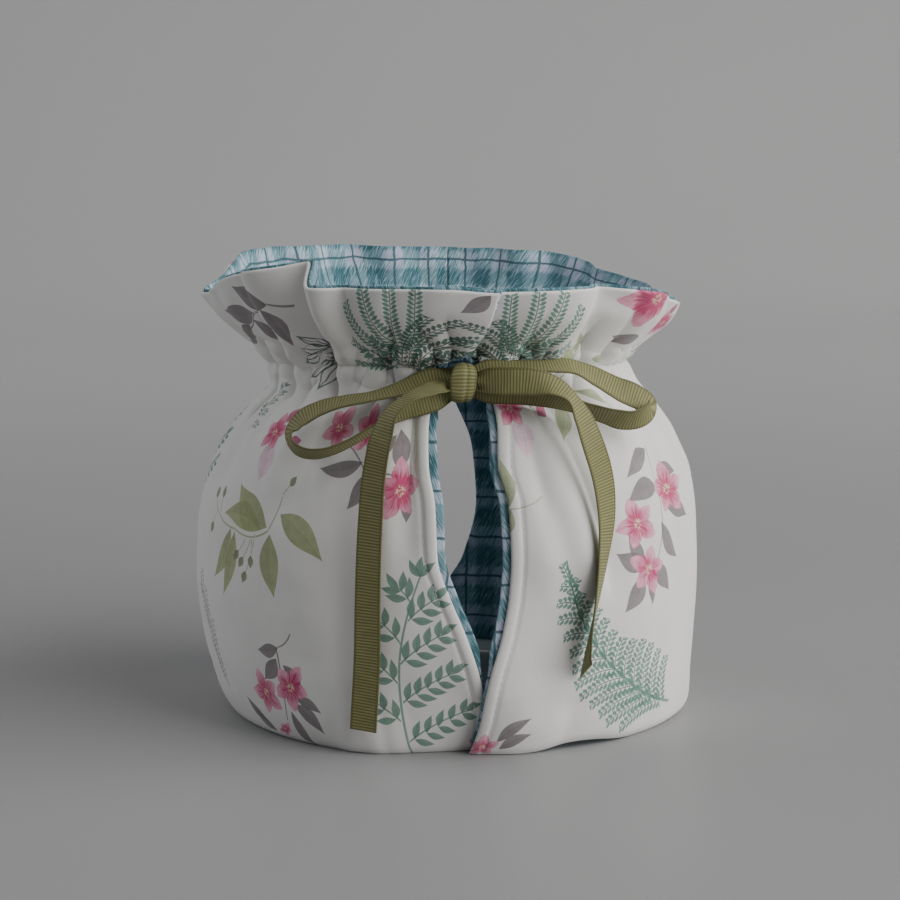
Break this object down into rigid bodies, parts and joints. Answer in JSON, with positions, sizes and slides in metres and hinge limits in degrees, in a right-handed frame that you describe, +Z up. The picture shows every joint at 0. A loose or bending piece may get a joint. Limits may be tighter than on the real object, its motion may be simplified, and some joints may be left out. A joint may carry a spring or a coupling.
{
  "type": "tea cosy",
  "caption": "Drawstring tea cosy: a hollow cloth cover with a standing frill, check lining, handle slit, spout slit and ribbon bow.",
  "frame": {"origin": "on the ground, under the middle of the box round all the pieces; the cosy's own axis is 1.8 mm behind it", "axes": "+Z up, the handle slit and the bow face -Y, the spout slit faces +Y, +X to the right seen from the bow"},
  "size_m": [0.1906, 0.1925, 0.1742],
  "materials": {
    "printed_cotton": "plain-weave off-white cotton with a flower and leaf print",
    "check_lining": "brushed teal and white check cotton",
    "ribbed_ribbon": "olive ribbed ribbon"
  },
  "bodies": {
    "root": {"cover_left": "printed_cotton", "cover_right": "printed_cotton", "lining_left": "check_lining", "lining_right": "check_lining", "ribbon_bow": "ribbed_ribbon"}
  },
  "joints": []
}
